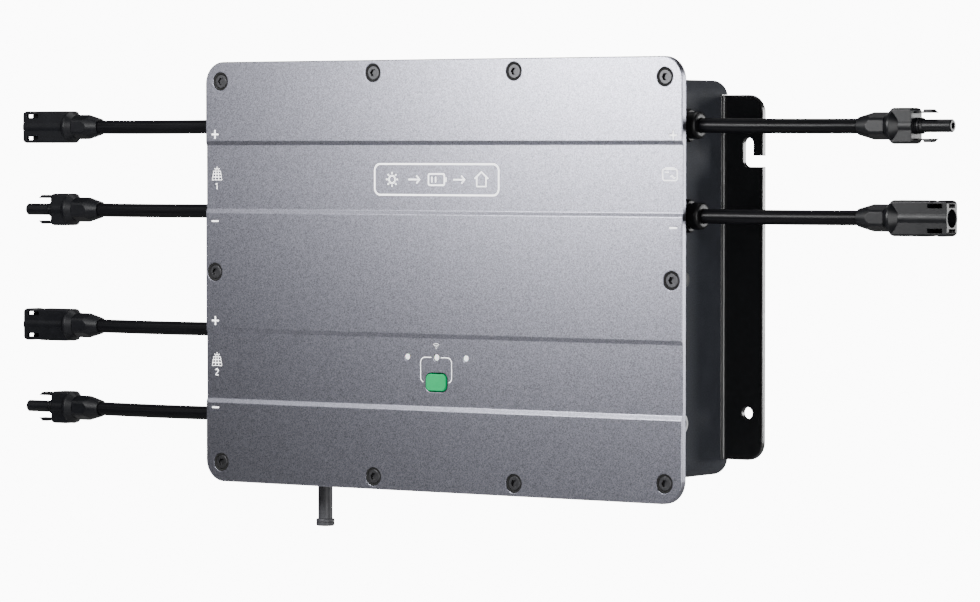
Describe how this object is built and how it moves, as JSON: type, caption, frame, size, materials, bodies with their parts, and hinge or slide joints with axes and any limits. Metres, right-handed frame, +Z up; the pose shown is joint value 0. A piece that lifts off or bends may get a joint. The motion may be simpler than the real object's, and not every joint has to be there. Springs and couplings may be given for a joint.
{
  "type": "solar hub controller",
  "caption": "Flat wall-mounted solar hub with a banded metal cover, finned housing, side brackets, plug-in leads, power button and rod antenna.",
  "frame": {"origin": "centre of the plane where the hub meets the wall, on the rear face of the centre rib", "axes": "+Z up, +Y into the wall, the front cover faces -Y, +X to the right seen from the front"},
  "size_m": [0.6377, 0.064, 0.2716],
  "materials": {
    "cover_metal": "bead-blasted, grey anodised",
    "housing_paint": "fine-textured dark grey powder coat on die-cast aluminium",
    "bracket_paint": "black powder coat",
    "screw_steel": "black-zinc plated",
    "seal_rubber": "soft matt",
    "button_green": "moulded, satin",
    "component_black": "moulded",
    "light_guide": "milky clear",
    "board_laminate": "solder resist",
    "shield_metal": "tinned",
    "winding_copper": "enamelled copper",
    "capacitor_sleeve": "shrink sleeve",
    "terminal_plastic": "moulded",
    "cable_jacket": "smooth jacket",
    "gland_plastic": "moulded nylon",
    "port_metal": "machined, dark plated",
    "contact_metal": "tin plated",
    "antenna_plastic": "satin moulded",
    "connector_plastic": "moulded"
  },
  "bodies": {
    "hub": {"front_cover": "cover_metal", "cover_gasket": "seal_rubber", "cover_screws": "screw_steel", "housing": "housing_paint", "bracket_left": "bracket_paint", "bracket_right": "bracket_paint", "bracket_screws": "screw_steel", "tact_switch": "component_black", "button_seal": "seal_rubber", "light_pipes": "light_guide", "status_leds": "light_guide", "front_board": "board_laminate", "front_board_screws": "screw_steel", "wifi_module": "shield_metal", "board_header": "component_black", "main_board": "board_laminate", "board_screws": "screw_steel", "inductors": "winding_copper", "capacitors": "capacitor_sleeve", "power_transistors": "component_black", "thermal_pads": "seal_rubber", "relays": "component_black", "terminal_blocks": "terminal_plastic", "inner_leads": "cable_jacket", "gland_rings": "seal_rubber", "gland_bodies": "gland_plastic", "gland_seals": "seal_rubber", "gland_caps": "gland_plastic", "gland_locknuts": "gland_plastic", "battery_port": "port_metal", "battery_port_nut": "port_metal", "battery_port_pins": "contact_metal", "vent_plug": "gland_plastic", "antenna_socket": "port_metal", "antenna_nut": "port_metal", "antenna_rod": "antenna_plastic", "antenna_tip": "antenna_plastic", "antenna_pigtail": "cable_jacket", "left_contacts": "contact_metal", "right_contacts": "contact_metal", "input_1_positive_cable": "cable_jacket", "input_1_positive_connector": "connector_plastic", "input_1_positive_nut": "connector_plastic", "input_1_negative_cable": "cable_jacket", "input_1_negative_connector": "connector_plastic", "input_1_negative_nut": "connector_plastic", "input_2_positive_cable": "cable_jacket", "input_2_positive_connector": "connector_plastic", "input_2_positive_nut": "connector_plastic", "input_2_negative_cable": "cable_jacket", "input_2_negative_connector": "connector_plastic", "input_2_negative_nut": "connector_plastic", "output_positive_cable": "cable_jacket", "output_positive_connector": "connector_plastic", "output_positive_nut": "connector_plastic", "output_negative_cable": "cable_jacket", "output_negative_connector": "connector_plastic", "output_negative_nut": "connector_plastic"},
    "button": {"power_button": "button_green", "switch_plunger": "component_black"}
  },
  "joints": [
    {"name": "button_press", "type": "slide", "parent": "hub", "child": "button", "axis": [0, 1, 0], "range_m": [0, 0.0008], "stiffness_N_per_m": 2500, "springref_m": -0.0002}
  ]
}
